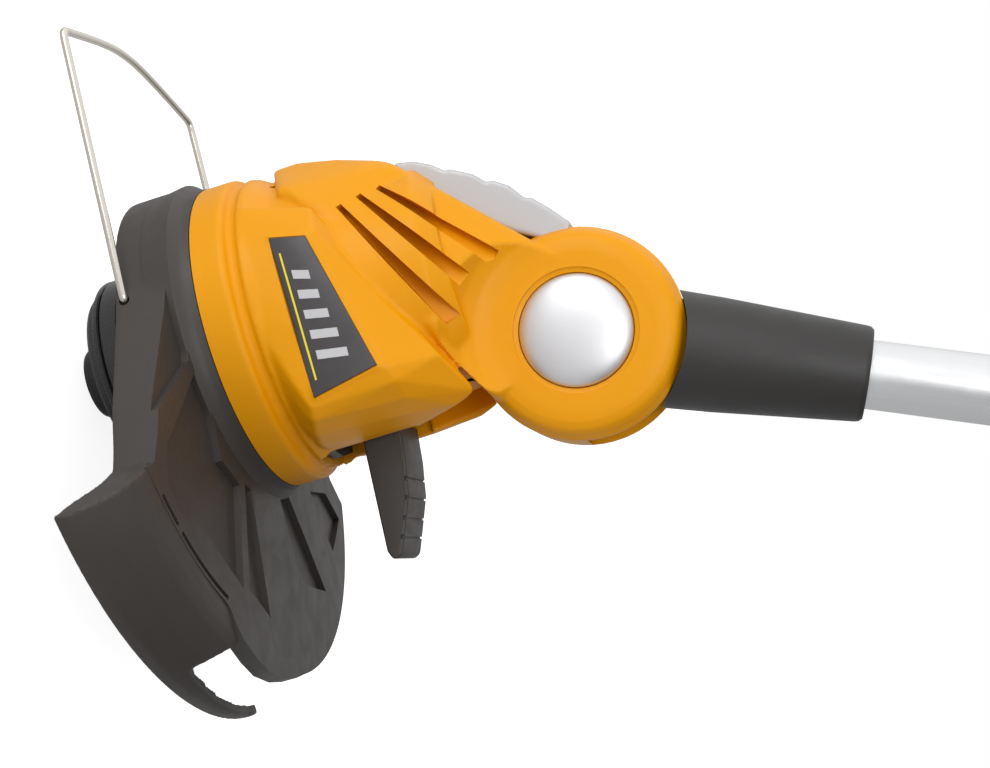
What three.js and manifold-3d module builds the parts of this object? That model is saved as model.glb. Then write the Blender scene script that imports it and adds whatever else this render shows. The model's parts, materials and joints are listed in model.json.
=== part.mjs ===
// A cordless string trimmer: cutting head with spool and guard, tilt joint, telescoping tube, two handles and battery.
// Millimetres. +Z runs up along the motor spindle, +X points back towards the person holding the tool, +Y to the
// tool's right. The origin is the centre of the bump knob's lower face, on the spindle axis.
import * as THREE from "three";
import { ConvexGeometry } from "three/addons/geometries/ConvexGeometry.js";
import { mergeVertices } from "three/addons/utils/BufferGeometryUtils.js";
import Module from "manifold-3d";

const wasm = await Module();
wasm.setup();

// ---------------------------------------------------------------- driving dimensions
const GAP = 0.3; // clearance between neighbouring pieces
const ROUND = 24; // sides of a large round part
const SMALL = 10; // sides of a small round part

const PIVOT = { x: 37, z: 189 }; // tilt axis, parallel to Y
const TILT = THREE.MathUtils.degToRad(24); // tube against spindle at rest
const TILT_RANGE = 50; // degrees that the head can bend further

const DRUM = { r: 38.4, halfWidth: 21.5, cavityR: 35.2, cavityHalf: 12 };
const CAP = { r: 20, dome: 4.2, recess: 3 };
const KNUCKLE = { r: 34, half: 11, neckHalf: 18, notch: 3 };

const RIM = { r: 63, z: 67.5 }; // lower edge of the motor housing

const GUARD = {
  top: 53,
  plate: 3.5,
  frontR: 62,
  corner: [50, 96],
  arcStart: 62.5,
  sideLow: 40,
  wall: 3,
  arcR: 130,
  skirtR: 139.5,
  skirtLow: 29.5,
  lipHigh: 37,
};
const WIRE = { r: 1.5, y: 64, z: 42.5, footX: -11.5, bendX: -114.5, bow: 11 };

const SPOOL = { baseR: 36.8, coverR: 33, knobR: 14.8, coverLow: 11.5, baseLow: 19, baseHigh: 38.5 };
const SHAFT_R = 4;
const MOTOR = { r: 24, low: 82, high: 134 };

const TUBE = { r: 12.5, bore: 11.1, start: 66, end: 400 };
const BOOT = { startR: 22.3, endR: 17, end: 108 };
const UPPER = { r: 14.6, bore: 13.1, start: 215, end: 612 };
const COLLAR = { start: 178, end: 244, r: 20.5 };
const BRACKET = { s: 430, half: 17 };
const HANDLE = { front: 585, back: 800, half: 18 };
const BATTERY = { s: 800.5, depth: 52, x0: -43, x1: 59, half: 36 };
const FRONT_HANDLE = { x: -34, eyeR: 11, barR: 8, span: 58, reach: -160 };

// ---------------------------------------------------------------- finishes
const finish = (color, roughness, metalness = 0) => new THREE.MeshStandardMaterial({ color, roughness, metalness });
const ORANGE = 0xf0a30a;
const BLACK = 0x3c3a39;
const SILVER = 0xc9cacc;
const STEEL = 0xa9a9a6;

// ---------------------------------------------------------------- helpers
function solid(geometry) {
  const bare = geometry.index ? geometry.toNonIndexed() : geometry.clone();
  bare.deleteAttribute("normal");
  bare.deleteAttribute("uv");
  const merged = mergeVertices(bare, 1e-3);
  const make = (triVerts) =>
    new wasm.Manifold(
      new wasm.Mesh({ numProp: 3, vertProperties: merged.attributes.position.array, triVerts }),
    );
  const triangles = new Uint32Array(merged.index.array);
  const made = make(triangles);
  return made.volume() < 0 ? make(triangles.reverse()) : made;
}

function geometryOf(body) {
  const mesh = body.getMesh();
  return new THREE.BufferGeometry()
    .setAttribute("position", new THREE.BufferAttribute(new Float32Array(mesh.vertProperties), 3))
    .setIndex(new THREE.BufferAttribute(new Uint32Array(mesh.triVerts), 1))
    .toNonIndexed();
}

const join = (first, ...rest) => rest.reduce((sum, body) => sum.add(body), first);
const cut = (first, ...rest) => rest.reduce((sum, body) => sum.subtract(body), first);

function box(x0, x1, y0, y1, z0, z1) {
  const geometry = new THREE.BoxGeometry(x1 - x0, y1 - y0, z1 - z0);
  return solid(geometry.translate((x0 + x1) / 2, (y0 + y1) / 2, (z0 + z1) / 2));
}

// A body of revolution about Z from [radius, z] pairs; a ring's profile closes on itself.
function turned(profile, sides = ROUND) {
  const onAxis = profile[0][0] === 0 && profile.at(-1)[0] === 0;
  const closed = onAxis ? profile : [...profile, profile[0]];
  const points = closed.map(([r, z]) => new THREE.Vector2(r, z));
  return solid(new THREE.LatheGeometry(points, sides).rotateX(Math.PI / 2));
}

const disc = (r, z0, z1, sides = ROUND) => turned([[0, z0], [r, z0], [r, z1], [0, z1]], sides);
const ring = (r0, r1, z0, z1, sides = ROUND) => turned([[r0, z0], [r1, z0], [r1, z1], [r0, z1]], sides);

// A Z-axis body laid along Y, its own +Z pointing to -Y, and moved to (x, z).
const alongY = (body, x, z) => body.rotate([90, 0, 0]).translate([x, 0, z]);
const pinY = (r, y0, y1, x, z, sides = SMALL) => alongY(disc(r, -y1, -y0, sides), x, z);

// An outline in the XZ plane, given as a Shape, thickened from y0 to y1.
function slab(shape, y0, y1) {
  const geometry = new THREE.ExtrudeGeometry(shape, { depth: y1 - y0, bevelEnabled: false, curveSegments: 10 });
  return solid(geometry.rotateX(Math.PI / 2).translate(0, y1, 0));
}

// An outline in the XY plane thickened from z0 to z1.
function plate(shape, z0, z1) {
  const settings = { depth: z1 - z0, bevelEnabled: false, curveSegments: 20 };
  return solid(new THREE.ExtrudeGeometry(shape, settings).translate(0, 0, z0));
}

const shapeOf = (points) => new THREE.Shape(points.map(([a, b]) => new THREE.Vector2(a, b)));
const hull = (points) => solid(new ConvexGeometry(points.map((p) => new THREE.Vector3(...p))));
const bothSides = (points) => points.flatMap(([x, y, z]) => [[x, y, z], [x, -y, z]]);

// A round bar along a smooth path through the given points.
function bar(points, r, steps, sides = 8, tension = 0.5) {
  const path = new THREE.CatmullRomCurve3(points.map((p) => new THREE.Vector3(...p)), false, "catmullrom", tension);
  const section = new THREE.Shape();
  for (let i = 0; i < sides; i++) {
    const a = (i / sides) * 2 * Math.PI;
    const [u, v] = [r * Math.cos(a), r * Math.sin(a)];
    if (i) section.lineTo(u, v);
    else section.moveTo(u, v);
  }
  return solid(new THREE.ExtrudeGeometry(section, { steps, bevelEnabled: false, extrudePath: path }));
}

const group = new THREE.Group();
const head = new THREE.Group();
const shaft = new THREE.Group(); // its own +Z runs along the tube, its +X to the tube's underside
shaft.position.set(PIVOT.x, 0, PIVOT.z);
shaft.rotation.y = TILT;
group.add(head, shaft);

function add(parent, name, body, material) {
  const mesh = new THREE.Mesh(geometryOf(body), material);
  mesh.name = name;
  parent.add(mesh);
}

// ---------------------------------------------------------------- motor housing
// The arm: a hull from the upper front of the motor bay to the tilt drum.
const armEnd = bothSides([
  [-57, 14, 96], [-57.5, 12, 103], [-52.5, 19, 119], [-44.5, 24, 138.5],
  [-40, 44, 98], [-27, 48, 114], [20, 42, 138], [47, 30, 151],
]);
const armCavity = bothSides([
  [-54, 12, 98], [-49, 17, 118], [-42, 21, 134], [-37, 40, 100],
  [-24, 44, 115], [16, 37, 136], [14, 11, 168], [40, 11, 158],
]);

// One side's raised panel around the badge.
const BADGE = [[-19.4, 96.3], [-16.2, 109.2], [34.7, 122.4], [39.6, 98.2]];
const BADGE_Y = 55;
const badgeCentre = [9.7, 106.5];
function badgeOutline(grow) {
  return BADGE.map(([x, z]) => {
    const [dx, dz] = [x - badgeCentre[0], z - badgeCentre[1]];
    const d = Math.hypot(dx, dz);
    return [x + (dx / d) * grow, z + (dz / d) * grow];
  });
}
const panel = hull([
  ...badgeOutline(4).map(([x, z]) => [x, -BADGE_Y - 1.5, z]),
  ...badgeOutline(13).map(([x, z]) => [x, -40, z]),
]);

const bodyOuter = turned([
  [0, RIM.z], [RIM.r, RIM.z], [62.4, 80], [58.5, 84], [57, 103], [50, 118], [47, 128], [45, 146], [38, 152], [0, 152],
]);
const bodyInner = turned([
  [0, RIM.z - 1], [59.5, RIM.z - 1], [59, 80], [55.5, 85], [54, 102], [47, 117], [44, 127], [42, 145], [36, 149], [0, 149],
]);
const armTip = bothSides([[22.6, DRUM.halfWidth, 204], [54.7, DRUM.halfWidth, 155]]);
const arm = hull([...armEnd, ...armTip]);
const drum = pinY(DRUM.r, -DRUM.halfWidth, DRUM.halfWidth, PIVOT.x, PIVOT.z, 36);
const housingOuter = join(bodyOuter, arm, drum, panel, panel.mirror([0, 1, 0]));
const drumCavity = pinY(DRUM.cavityR, -DRUM.cavityHalf, DRUM.cavityHalf, PIVOT.x, PIVOT.z, ROUND);

// The gap in the drum's rim that the neck swings in: the neck's own place at both limits and the sector between.
const neckRoom = (degrees) => {
  const room = box(-KNUCKLE.neckHalf - GAP, KNUCKLE.neckHalf + GAP, -KNUCKLE.half - GAP, KNUCKLE.half + GAP, 0, 60);
  return room.rotate([0, degrees, 0]).translate([PIVOT.x, 0, PIVOT.z]);
};
function neckSlot() {
  const [rest, limit] = [THREE.MathUtils.radToDeg(TILT), THREE.MathUtils.radToDeg(TILT) + TILT_RANGE];
  const [from, to] = [90 - limit, 90 - rest].map(THREE.MathUtils.degToRad);
  const shape = new THREE.Shape();
  shape.moveTo(PIVOT.x, PIVOT.z);
  shape.absarc(PIVOT.x, PIVOT.z, DRUM.r + 8, from, to, false);
  return join(slab(shape, -KNUCKLE.half - GAP, KNUCKLE.half + GAP), neckRoom(rest), neckRoom(limit));
}

// Three long slots on each side of the arm, tapering towards the drum.
function ventSlots() {
  const starts = [[-28, 120], [-31, 127], [-33, 134]];
  const ends = [[23, 149], [12, 158], [4, 168]];
  return starts.map(([x0, z0], i) => {
    const [x1, z1] = ends[i];
    const d = Math.hypot(x1 - x0, z1 - z0);
    const [nx, nz] = [-(z1 - z0) / d, (x1 - x0) / d];
    const corners = [
      [x0 - nx, z0 - nz], [x0 + nx, z0 + nz], [x1 + 3 * nx, z1 + 3 * nz], [x1 - 3 * nx, z1 - 3 * nz],
    ];
    return slab(shapeOf(corners), -60, -DRUM.cavityHalf - 4);
  });
}

const PEDAL = { half: 15, pinX: 10, pinZ: 146.5, pinR: 2.5 };
const vents = ventSlots();
const boltHole = pinY(3.4, -30, 30, PIVOT.x, PIVOT.z);
const capPocket = pinY(CAP.r + 0.5, -30, -DRUM.halfWidth + CAP.recess, PIVOT.x, PIVOT.z, ROUND);
const headPocket = pinY(6.6, -30, -DRUM.halfWidth + CAP.recess + 3.6, PIVOT.x, PIVOT.z);
const badgePocket = slab(shapeOf(badgeOutline(0.4)), -BADGE_Y - 5, -BADGE_Y);
const pedalDoor = box(30, 80, -PEDAL.half - 1.5, PEDAL.half + 1.5, 84, 122);
const pawlRoom = box(30, 42.5, -9.6, 9.6, 138, 160);
const sides = [vents, [capPocket], [headPocket], [badgePocket]].flat();
const shell = cut(housingOuter, bodyInner, hull(armCavity), drumCavity, pawlRoom);
const SCREW_SPOTS = [[-36, 117], [-46, 94]];
const screwPosts = SCREW_SPOTS.map(([x, z]) => pinY(4.6, -70, 70, x, z).intersect(housingOuter));
const pinPosts = [box(5, 15, -14, -10, 143, 150.5), box(5, 15, 10, 14, 143, 150.5)];
const screwHoles = SCREW_SPOTS.map(([x, z]) => join(pinY(1.9, -25, 70, x, z), pinY(3.8, 34, 70, x, z)));
const housing = cut(
  join(shell, ...screwPosts, ...pinPosts), neckSlot(), boltHole, pedalDoor, ...screwHoles,
  pinY(PEDAL.pinR + GAP, -12.5, 12.5, PEDAL.pinX, PEDAL.pinZ),
  ...sides, ...sides.map((body) => body.mirror([0, 1, 0])),
);
const half = box(-120, 120, -120, -0.15, 0, 260);
const orange = finish(ORANGE, 0.42);
const mainBody = (body) => body.decompose().sort((a, b) => b.volume() - a.volume())[0];
add(head, "housing_left", mainBody(housing.intersect(half)), orange);
add(head, "housing_right", mainBody(housing.intersect(half.mirror([0, 1, 0]))), finish(ORANGE, 0.42));

SCREW_SPOTS.forEach(([x, z], i) => {
  const screw = join(pinY(1.5, -22, 35, x, z, 8), pinY(3.4, 34.3, 36.8, x, z));
  add(head, `housing_screw_${i + 1}`, screw, finish(STEEL, 0.35, 1));
});

// The crowned strip on top of the arm.
const spineCrown = [
  [-45, 139.8], [-41, 152], [-36.5, 158.6], [-31.8, 167], [-27.6, 173], [-23, 179.5], [-16, 187], [-5.5, 197],
];
const spineHull = hull([
  ...bothSides(spineCrown.map(([x, z]) => [x, 6, z])),
  ...bothSides(spineCrown.map(([x, z]) => [x + 4, 15, z - 3])),
  ...bothSides([[-34, 15, 140], [4, 15, 180], [4, 15, 190]]),
]);
const spineFace = join(arm, bodyOuter, drum).translate([-0.25, 0, 0.3]);
add(head, "spine_cover", mainBody(cut(spineHull, spineFace, arm, drum)), finish(SILVER, 0.5));

// Badges, caps and the bolt of the tilt joint.
const badge = slab(shapeOf(badgeOutline(0)), -BADGE_Y - 1.2, -BADGE_Y - GAP);
const { dome } = CAP;
const capProfile = [[0, 0], [CAP.r, 0], [CAP.r, 2.4], [15, 2.4 + 0.6 * dome], [8, 2.4 + 0.92 * dome], [0, 2.4 + dome]];
const cap = alongY(turned(capProfile), PIVOT.x, PIVOT.z).translate([0, -DRUM.halfWidth + CAP.recess - GAP, 0]);
const mirrored = (body) => body.mirror([0, 1, 0]);
add(head, "badge_left", badge, finish(BLACK, 0.5));
add(head, "badge_right", mirrored(badge), finish(BLACK, 0.5));
add(head, "pivot_cap_left", cap, finish(SILVER, 0.25, 0.8));
add(head, "pivot_cap_right", mirrored(cap), finish(SILVER, 0.25, 0.8));
const boltY = DRUM.halfWidth - CAP.recess - 3.6;
const boltShank = pinY(3, -boltY - 1, boltY + 3, PIVOT.x, PIVOT.z);
const boltHead = pinY(5.4, -boltY - 3.2, -boltY - GAP, PIVOT.x, PIVOT.z, 6);
add(head, "pivot_bolt", join(boltShank, boltHead), finish(STEEL, 0.35, 1));
const nut = cut(pinY(5.6, boltY + GAP, boltY + 2.8, PIVOT.x, PIVOT.z, 6), pinY(3.3, 0, 40, PIVOT.x, PIVOT.z));
add(head, "pivot_nut", nut, finish(STEEL, 0.35, 1));

// ---------------------------------------------------------------- drive
const black = (roughness = 0.6) => finish(BLACK, roughness);
const canProfile = [
  [MOTOR.r, MOTOR.low], [MOTOR.r, MOTOR.high], [11.3, MOTOR.high], [11.3, 126], [7, 126], [7, 122], [17, 122],
  [17, 92], [7, 92], [7, 89.5], [11.3, 89.5], [11.3, MOTOR.low],
];
add(head, "motor_can", turned(canProfile), finish(STEEL, 0.4, 0.9));
const bearing = (z0) => ring(SHAFT_R + GAP, 11, z0, z0 + 7, 16);
add(head, "bearing_lower", bearing(MOTOR.low + 0.2), finish(STEEL, 0.3, 1));
add(head, "bearing_upper", bearing(126.5), finish(STEEL, 0.3, 1));
add(head, "motor_mount", ring(MOTOR.r + GAP, 54.6, 85, 88.8, 20), black());
add(head, "motor_plate", ring(8, 59, 67.5, 69.5), black());
const armatureProfile = [
  [0, 26], [SHAFT_R, 26], [SHAFT_R, 93], [15.5, 93], [15.5, 116], [9, 116], [9, 121], [SHAFT_R, 121], [SHAFT_R, 137],
  [0, 137],
];
add(head, "armature", turned(armatureProfile, 16), finish(STEEL, 0.4, 0.9));
const blades = [];
for (let i = 0; i < 8; i++) blades.push(box(7, 38, -0.8, 0.8, 72, 80).rotate([0, 0, i * 45]));
add(head, "fan", join(ring(SHAFT_R + GAP, 10, 71, 80.5, 20), ring(9, 40, 71, 72.6), ...blades), black());

// ---------------------------------------------------------------- cutting head
const { baseR, coverR, knobR, coverLow, baseLow, baseHigh } = SPOOL;
const baseProfile = [
  [SHAFT_R + GAP, 26], [5.6, 26], [5.6, 36.5], [baseR - 2.3, 36.5], [baseR - 2.3, baseLow], [baseR, baseLow],
  [baseR, 36], [baseR - 2, baseHigh], [SHAFT_R + GAP, baseHigh],
];
const eyeletHole = disc(3, 30, 60, SMALL).rotate([0, 90, 0]).translate([0, 0, 28]);
add(head, "spool_base", cut(turned(baseProfile), eyeletHole), black());
const eyelet = ring(1.4, 2.6, 34, 39, SMALL).rotate([0, 90, 0]).translate([0, 0, 28]);
add(head, "line_eyelet", eyelet, finish(STEEL, 0.3, 1));
add(head, "line_stub", disc(0.9, 33, 43, 8).rotate([0, 90, 0]).translate([0, 0, 28]), finish(0xd8d2c4, 0.4));
const coverProfile = [
  [knobR + 0.8, coverLow], [coverR - 1.5, coverLow], [coverR, coverLow + 1.5], [coverR, 15.4], [baseR - 1, 16.2],
  [baseR, 17.2], [baseR, baseLow - GAP], [knobR + 0.8, baseLow - GAP],
];
add(head, "spool_cover", turned(coverProfile), black());
const spoolProfile = [[6.4, 20], [31.5, 20], [31.5, 21.5], [14, 21.5], [14, 31], [31.5, 31], [31.5, 32.5], [6.4, 32.5]];
add(head, "spool", turned(spoolProfile), black());
add(head, "line_winding", ring(14.3, 27.5, 21.8, 30.7), finish(0xd8d2c4, 0.4));
const knobProfile = [[0, 0], [12, 0], [knobR, 2.6], [knobR, 19.7], [0, 19.7]];
add(head, "bump_knob", turned(knobProfile), black());
add(head, "bump_spring", ring(8, 11, 32.8, 36.2, 16), finish(STEEL, 0.3, 1));

// ---------------------------------------------------------------- guard
function guardOutline(inset) {
  const { frontR, arcR, corner } = GUARD;
  const shape = new THREE.Shape();
  const [r, front] = [arcR - inset, frontR - inset];
  const [cx, cy] = [corner[0] + inset * 0.5, corner[1] - inset * 0.9];
  const start = THREE.MathUtils.degToRad(GUARD.arcStart);
  const flank = THREE.MathUtils.degToRad(105);
  shape.moveTo(cx, -cy);
  shape.absarc(0, 0, r, -start, start, false);
  shape.lineTo(cx, cy);
  shape.absarc(0, 0, front, flank, 2 * Math.PI - flank, false);
  return shape;
}
const { top, plate: plateT, sideLow, wall, skirtR, skirtLow, lipHigh, corner } = GUARD;
const guardPlate = plate(guardOutline(0), top - plateT, top);
const sideWalls = cut(
  plate(guardOutline(0), sideLow, top - 1), plate(guardOutline(wall), 0, top + 1), box(corner[0] + 1, 200, -200, 200, 0, 90),
);
const SHOULDER = { r: 132, z: 46, topR: 119 };
const skirtBand = turned([
  [SHOULDER.topR, top], [SHOULDER.topR, top - plateT], [SHOULDER.r - wall, SHOULDER.z - 1], [skirtR - wall, skirtLow],
  [skirtR, skirtLow], [SHOULDER.r, SHOULDER.z],
], 72);
const skirtStart = -THREE.MathUtils.degToRad(GUARD.arcStart);
const nearSector = shapeOf([[0, 0], [300 * Math.cos(skirtStart), 300 * Math.sin(skirtStart)], [300, -120], [300, 0]]);
const cutWindow = plate(shapeOf([[108, -52], [125, -75], [200, -100], [200, 100], [108, 40]]), lipHigh, 90);
const skirt = cut(skirtBand.intersect(plate(nearSector, 0, 100)), cutWindow);
const onArc = (r, z, turn) => {
  const a = skirtStart + THREE.MathUtils.degToRad(turn);
  return [r * Math.cos(a), r * Math.sin(a), z];
};
const flareWall = hull([
  ...[[corner[0], 1 - corner[1]], [corner[0] + wall, 3 - corner[1]]]
    .flatMap(([x, y]) => [[x, y, sideLow], [x, y, top - 1]]),
  onArc(SHOULDER.topR, top - 1, 0.3), onArc(SHOULDER.topR, top - 1, 1.5),
  onArc(SHOULDER.r - 1, SHOULDER.z, 0.3), onArc(SHOULDER.r - 1, SHOULDER.z, 1.5),
  onArc(skirtR - 1, skirtLow + 0.5, 0.3), onArc(skirtR - 1, skirtLow + 0.5, 1.5),
]);
const collar = ring(56, 62.7, top - 1, RIM.z - GAP);
const collarFlange = ring(52, 63.6, top - 1, top + 4.5);
const guardSpots = [60, 180, 300].map((angle) => {
  const a = THREE.MathUtils.degToRad(angle);
  return [46 * Math.cos(a), 46 * Math.sin(a)];
});
const guardPosts = guardSpots.map(([x, y]) => disc(6.5, top - 1, RIM.z - GAP, SMALL).translate([x, y, 0]));
const guardHoles = guardSpots.map(([x, y]) => disc(2.1, 40, 70, 8).translate([x, y, 0]));
const footHoles = [[-80, -56], [56, 80]].map(([y0, y1]) => pinY(WIRE.r + 0.5, y0, y1, WIRE.footX, WIRE.z));
const guardBody = cut(
  join(guardPlate, sideWalls, skirt, flareWall, collar, collarFlange, ...guardPosts),
  ...guardHoles, ...footHoles, disc(9, 0, 100, 20),
);
add(head, "guard", mainBody(guardBody), black());
const cutter = join(box(122, 132, -8, 8, 30.5, 32), box(130.6, 132, -8, 8, 30.5, 37)).rotate([0, 0, -38]);
add(head, "line_cutter", cutter, finish(STEEL, 0.3, 1));
guardSpots.forEach(([x, y], i) => {
  const low = top - plateT;
  const screw = join(disc(3.6, low - 2.6, low - GAP, SMALL), disc(1.8, low - 1, RIM.z - 1.2, 8));
  add(head, `guard_screw_${i + 1}`, screw.translate([x, y, 0]), finish(STEEL, 0.35, 1));
});

// Bent wire plant protector, hinged in the guard's two side walls.
const { y: wy, z: wz, footX, bendX, bow } = WIRE;
const wireHalf = [
  [footX, 57.5, wz], [footX, wy - 1.6, wz], [footX - 1.6, wy, wz], [(footX + bendX) / 2, wy - 1, wz],
  [bendX + 2, wy - 2, wz], [bendX - 1.5, wy - 5, wz], [bendX - 0.75 * bow, 30, wz],
];
const wirePath = [...wireHalf, [bendX - bow, 0, wz], ...wireHalf.toReversed().map(([x, y, z]) => [x, -y, z])];
add(head, "wire_guard", bar(wirePath, WIRE.r, 48, 6, 0.3), finish(0xcfc8bc, 0.25, 1));

// ---------------------------------------------------------------- tilt pedal
const pedalShape = shapeOf([
  [35, 104], [52, 101], [66, 100.5], [66, 114.4], [54, 115.4], [41, 117], [40.5, 147], [39, 154.4],
  [35.5, 154.4], [35, 150], [PEDAL.pinX, 149.8], [6.5, 148.5], [6.5, 144.5], [PEDAL.pinX, 142.9], [34, 142.5],
]);
const lever = cut(slab(pedalShape, -9, 9), pinY(PEDAL.pinR + GAP, -20, 20, PEDAL.pinX, PEDAL.pinZ));
const paddle = slab(shapeOf([
  [57, 100.8], [95, 99.8], [98.5, 101.2], [97.5, 104.8], [89, 108], [77, 112.8], [64, 115], [57, 115.4],
]), -PEDAL.half, PEDAL.half);
add(head, "pedal", join(lever, paddle), black(0.7));
add(head, "pedal_pin", pinY(PEDAL.pinR, -12.2, 12.2, PEDAL.pinX, PEDAL.pinZ), finish(STEEL, 0.3, 1));
add(head, "pedal_spring", ring(2, 3.4, MOTOR.high + GAP, 142.2, 12).translate([19, 0, 0]), finish(STEEL, 0.3, 1));

// ---------------------------------------------------------------- lower shaft
const { r: knR, half: knHalf, neckHalf } = KNUCKLE;
const RATCHET_STEPS = 4;
const notches = [];
for (let i = 0; i < RATCHET_STEPS; i++) {
  const angle = 180 - THREE.MathUtils.radToDeg(TILT) - (i * TILT_RANGE) / (RATCHET_STEPS - 1);
  notches.push(box(-2.6, 2.6, -12, 12, knR - KNUCKLE.notch, knR + 3).rotate([0, angle, 0]));
}
const knuckle = cut(
  join(
    pinY(knR, -knHalf, knHalf, 0, 0, ROUND), box(-neckHalf, neckHalf, -knHalf, knHalf, 0, 62), disc(10.8, 61, 112, 20),
  ),
  pinY(3.4, -20, 20, 0, 0), ...notches,
);
add(shaft, "knuckle", knuckle, black(0.55));
const bootProfile = [
  [TUBE.r + GAP, 28], [BOOT.startR, 28], [BOOT.endR, BOOT.end - 1.6], [BOOT.endR - 1, BOOT.end], [TUBE.r + GAP, BOOT.end],
];
const boot = cut(
  turned(bootProfile), pinY(DRUM.r + 1.3, -30, 30, 0, 0, 36),
  box(-neckHalf - GAP, neckHalf + GAP, -knHalf - GAP, knHalf + GAP, 0, TUBE.start - 1),
);
add(shaft, "sleeve", mainBody(boot), black(0.4));
const alloy = (roughness = 0.35) => finish(SILVER, roughness, 0.9);
add(shaft, "lower_tube", ring(TUBE.bore, TUBE.r, TUBE.start, TUBE.end), alloy());
const plugProfile = [
  [5, TUBE.end - 14], [TUBE.bore - GAP, TUBE.end - 14], [TUBE.bore - GAP, TUBE.end + GAP], [12.7, TUBE.end + GAP],
  [12.7, TUBE.end + 4], [5, TUBE.end + 4],
];
add(shaft, "tube_plug", turned(plugProfile), black());
add(shaft, "motor_lead", disc(2.5, 116, TUBE.end + 2, 8), black());

// ---------------------------------------------------------------- telescoping joint
add(shaft, "upper_tube", ring(UPPER.bore, UPPER.r, UPPER.start, UPPER.end), alloy());
add(shaft, "collar_base", ring(UPPER.r + GAP, 17, UPPER.start + 7, COLLAR.end + 12), black());
const collarProfile = [
  [TUBE.r + GAP, COLLAR.start], [COLLAR.r - 2.5, COLLAR.start], [COLLAR.r, COLLAR.start + 5], [COLLAR.r, COLLAR.end],
  [17 + GAP, COLLAR.end], [17 + GAP, UPPER.start - 0.5], [TUBE.r + GAP, UPPER.start - 0.5],
];
add(shaft, "twist_collar", turned(collarProfile), black());

// ---------------------------------------------------------------- front handle
const { x: fx, eyeR, barR, span, reach } = FRONT_HANDLE;
const at = BRACKET.s;
const bracket = cut(
  join(
    ring(UPPER.r + GAP, 21.5, at - BRACKET.half, at + BRACKET.half),
    cut(join(box(fx, -15, -7.7, 7.7, at - 11, at + 11), pinY(11, -7.7, 7.7, fx, at)), disc(UPPER.r + 2, 0, 999)),
  ),
  pinY(3.4, -20, 20, fx, at),
);
add(shaft, "bracket", bracket, black());
const handleHalf = [
  [fx - 4, 12, at], [fx - 26, 14, at + 2], [-90, span - 14, at + 8], [-128, span, at + 15], [reach + 8, 40, at + 21],
];
const handlePath = [...handleHalf, [reach, 0, at + 23], ...handleHalf.toReversed().map(([x, y, z]) => [x, -y, z])];
const frontHandle = cut(
  join(bar(handlePath, barR, 30, 8, 0.5), pinY(eyeR, 8, 20.4, fx, at), pinY(eyeR, -20.4, -8, fx, at)),
  box(fx - 14, fx + 12, -8, 8, at - 14, at + 14), pinY(3.4, -30, 30, fx, at),
);
add(shaft, "front_handle", frontHandle, black(0.7));
add(shaft, "clamp_bolt", join(pinY(3, -22, 36, fx, at), pinY(5.4, -24, -21, fx, at, 6)), finish(STEEL, 0.35, 1));
const lobes = [0, 60, 120].map((angle) => box(-17, 17, -4, 4, 0, 14).rotate([0, 0, angle]));
const knob = cut(join(disc(11, 0, 14, SMALL), ...lobes), disc(3.3, -1, 20, SMALL));
add(shaft, "clamp_knob", alongY(knob, fx, at).translate([0, 36.4, 0]), black());

// ---------------------------------------------------------------- rear handle
const { front, back, half: gripHalf } = HANDLE;
const gripShape = shapeOf([
  [-20, front], [20, front], [23, front + 20], [22, front + 62], [16, front + 84], [15, back - 38], [22, back - 20],
  [22, back - 8], [-28, back - 8], [-28, back - 20], [-20, back - 38], [-18, front + 110], [-25, front + 74],
  [-24, front + 20],
]);
const guardLoop = shapeOf([
  [14, front + 40], [24, front + 50], [47, front + 80], [54, front + 100], [54, back - 36], [56, back - 10], [14, back - 10],
  [14, back - 30], [30, back - 36], [43, back - 44], [43, front + 104], [37, front + 92], [16, front + 86],
]);
const batteryFoot = box(BATTERY.x0, BATTERY.x1, -BATTERY.half, BATTERY.half, back - 20, back);
const HANDLE_SCREWS = [[48.5, front + 130, 9], [50, back - 12, 9], [-16, front + 54, 12]];
const handleHoles = HANDLE_SCREWS.map(([x, s, y]) =>
  join(pinY(1.9, -y - 1, 7, x, s, 8), pinY(3.6, -60, 2.6 - y, x, s)),
);
const triggerAt = { x: 12, s: 688 };
const rearHandle = cut(
  join(slab(gripShape, -gripHalf, gripHalf), slab(guardLoop, -9, 9), batteryFoot),
  disc(UPPER.r + GAP, front - 10, UPPER.end + GAP, ROUND), box(-13, 11, -12, 12, UPPER.end, back - 16),
  box(-24, 40, -22, 22, back - 17, back + 1), box(8, 24, -6.4, 6.4, front + 88, front + 142),
  box(-40, -10, -6.4, 6.4, front + 59.6, front + 78.4), pinY(2.3, -11, 11, triggerAt.x, triggerAt.s),
  ...handleHoles,
);
const handleCut = box(-200, 200, -200, -0.15, 0, 1200);
add(shaft, "handle_left", mainBody(rearHandle.intersect(handleCut)), black());
add(shaft, "handle_right", mainBody(rearHandle.intersect(mirrored(handleCut))), black());
HANDLE_SCREWS.forEach(([x, s, y], i) => {
  const screw = join(pinY(1.5, -y, 6, x, s, 8), pinY(3.2, -y - 0.6, 2.3 - y, x, s));
  add(shaft, `handle_screw_${i + 1}`, screw, finish(STEEL, 0.35, 1));
});
const triggerShape = shapeOf([
  [7, front + 92], [14, front + 90], [24, front + 96], [28, front + 110], [27, front + 136], [20, front + 139],
  [7, front + 138],
]);
const trigger = cut(slab(triggerShape, -6, 6), pinY(2.3, -20, 20, triggerAt.x, triggerAt.s));
add(shaft, "trigger", trigger, finish(ORANGE, 0.5));
add(shaft, "trigger_pin", pinY(2, -10.6, 10.6, triggerAt.x, triggerAt.s), finish(STEEL, 0.35, 1));
const lockButton = join(box(-30.5, -18, -6, 6, front + 60, front + 78), box(-18.3, -15, -4, 4, front + 62, front + 76));
add(shaft, "lock_button", lockButton, finish(ORANGE, 0.5));
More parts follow.
